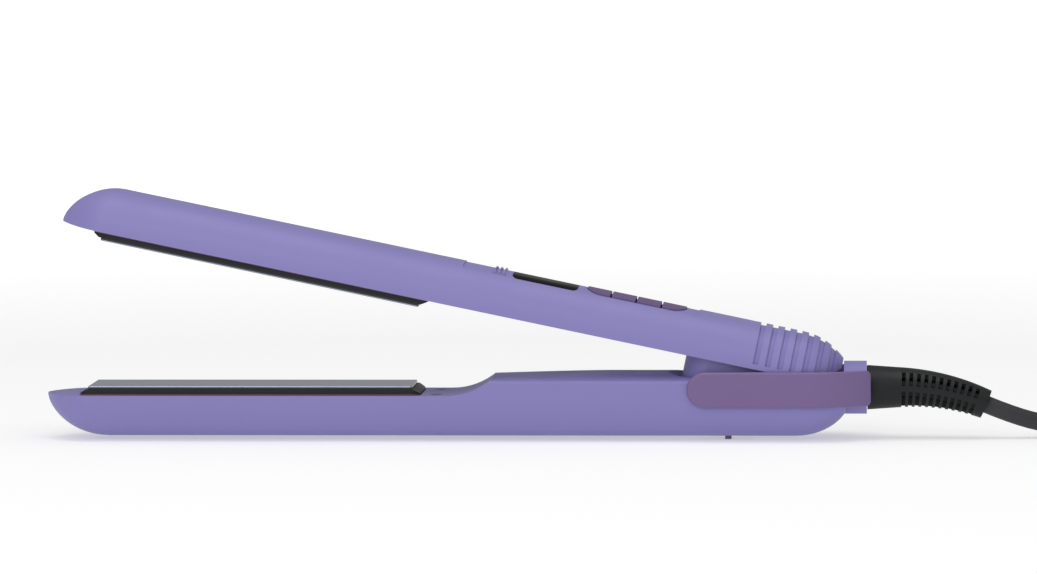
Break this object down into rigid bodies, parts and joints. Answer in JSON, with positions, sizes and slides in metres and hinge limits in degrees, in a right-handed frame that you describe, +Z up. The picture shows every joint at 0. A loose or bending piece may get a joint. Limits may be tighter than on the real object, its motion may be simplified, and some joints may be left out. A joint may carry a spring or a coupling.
{
  "type": "flat iron",
  "caption": "Hair straightener with two arms on a rear hinge, floating heated plates, a display with keys, a closing lock and a turning cord head.",
  "frame": {"origin": "on the floor under the middle of the object without its cord, drawn open", "axes": "+X from the noses to the cord, +Z up, the arms symmetric about Y = 0"},
  "size_m": [0.4939, 0.0564, 0.0853],
  "materials": {
    "shell": "satin lavender moulding",
    "trim": "satin mauve moulding",
    "keys": "mauve soft-touch",
    "plate": "polished ceramic-coated aluminium",
    "carrier": "fine-grained black moulding",
    "gasket": "dark rose silicone",
    "silicone": "plain silicone",
    "ceramic": "unglazed ceramic",
    "spring_steel": "drawn wire or strip",
    "steel": "turned steel",
    "copper": "bare copper alloy",
    "bronze": "sintered bronze",
    "display": "black tinted window",
    "board": "green lacquer",
    "switches": "black moulding",
    "wire_insulation": "glass-braid sleeve",
    "fuse_body": "bright plated can",
    "slider": "mauve moulding",
    "barrel": "black acetal",
    "relief": "black elastomer, slightly satin",
    "cord": "dark grey sheath",
    "tie": "black strap",
    "plug": "black moulding",
    "pins": "nickel-plated brass"
  },
  "bodies": {
    "lower_arm": {"lower_shell": "shell", "lower_inner_cover": "shell", "lower_cover_screws": "steel", "hinge_pin": "steel", "left_trim": "trim", "right_trim": "trim", "hinge_spring": "spring_steel", "brush_contacts": "copper", "lower_leads": "wire_insulation", "lower_float_pads": "silicone", "cord_tube": "cord", "cord_hank": "cord", "cord_tail": "cord", "hank_tie": "tie", "plug_body": "plug", "plug_pins": "pins", "plug_pin_sleeves": "plug"},
    "upper_arm": {"upper_shell": "shell", "upper_inner_cover": "shell", "upper_cover_screws": "steel", "hinge_bushes": "bronze", "display_lens": "display", "display_module": "switches", "control_board": "board", "key_switches": "switches", "upper_leads": "wire_insulation", "upper_float_pads": "silicone"},
    "lower_plate": {"lower_plate_carrier": "carrier", "lower_heating_plate": "plate", "lower_heater": "ceramic", "lower_heater_clip": "spring_steel", "lower_thermal_fuse": "fuse_body", "lower_base_gasket": "gasket"},
    "upper_plate": {"upper_plate_carrier": "carrier", "upper_heating_plate": "plate", "upper_heater": "ceramic", "upper_heater_clip": "spring_steel", "upper_thermistor": "ceramic", "upper_base_gasket": "gasket"},
    "power_key": {"power_key": "keys"},
    "minus_key": {"minus_key": "keys"},
    "plus_key": {"plus_key": "keys"},
    "mode_key": {"mode_key": "keys"},
    "lock_slider": {"lock_slider": "slider"},
    "cord_swivel": {"strain_relief": "relief", "swivel_barrel": "barrel", "slip_rings": "copper"}
  },
  "joints": [
    {"name": "arm_hinge", "type": "hinge", "parent": "lower_arm", "child": "upper_arm", "pos_m": [0.1146, 0, 0.0206], "axis": [0, -1, 0], "range_deg": [0, 11.6], "stiffness_Nm_per_rad": 3, "springref_deg": -5.73, "deforming": ["hinge_spring"]},
    {"name": "lower_plate_float", "type": "slide", "parent": "lower_arm", "child": "lower_plate", "axis": [0, 0, -1], "range_m": [0, 0.0008], "stiffness_N_per_m": 6000, "springref_m": -0.0006, "deforming": ["lower_float_pads"]},
    {"name": "upper_plate_float", "type": "slide", "parent": "upper_arm", "child": "upper_plate", "axis": [0.2062, 0, 0.9785], "range_m": [0, 0.0008], "stiffness_N_per_m": 6000, "springref_m": -0.0006, "deforming": ["upper_float_pads"]},
    {"name": "power_press", "type": "slide", "parent": "upper_arm", "child": "power_key", "axis": [-0.2062, 0, -0.9785], "range_m": [0, 0.0004], "stiffness_N_per_m": 1500, "springref_m": -0.0003},
    {"name": "minus_press", "type": "slide", "parent": "upper_arm", "child": "minus_key", "axis": [-0.2062, 0, -0.9785], "range_m": [0, 0.0004], "stiffness_N_per_m": 1500, "springref_m": -0.0003},
    {"name": "plus_press", "type": "slide", "parent": "upper_arm", "child": "plus_key", "axis": [-0.2062, 0, -0.9785], "range_m": [0, 0.0004], "stiffness_N_per_m": 1500, "springref_m": -0.0003},
    {"name": "mode_press", "type": "slide", "parent": "upper_arm", "child": "mode_key", "axis": [-0.2062, 0, -0.9785], "range_m": [0, 0.0004], "stiffness_N_per_m": 1500, "springref_m": -0.0003},
    {"name": "lock_slide", "type": "slide", "parent": "lower_arm", "child": "lock_slider", "axis": [-1, 0, 0], "range_m": [0, 0.003]},
    {"name": "cord_turn", "type": "hinge", "parent": "lower_arm", "child": "cord_swivel", "pos_m": [0.1346, 0, 0.01745], "axis": [1, 0, 0], "continuous": true, "deforming": ["cord_tube"]}
  ]
}
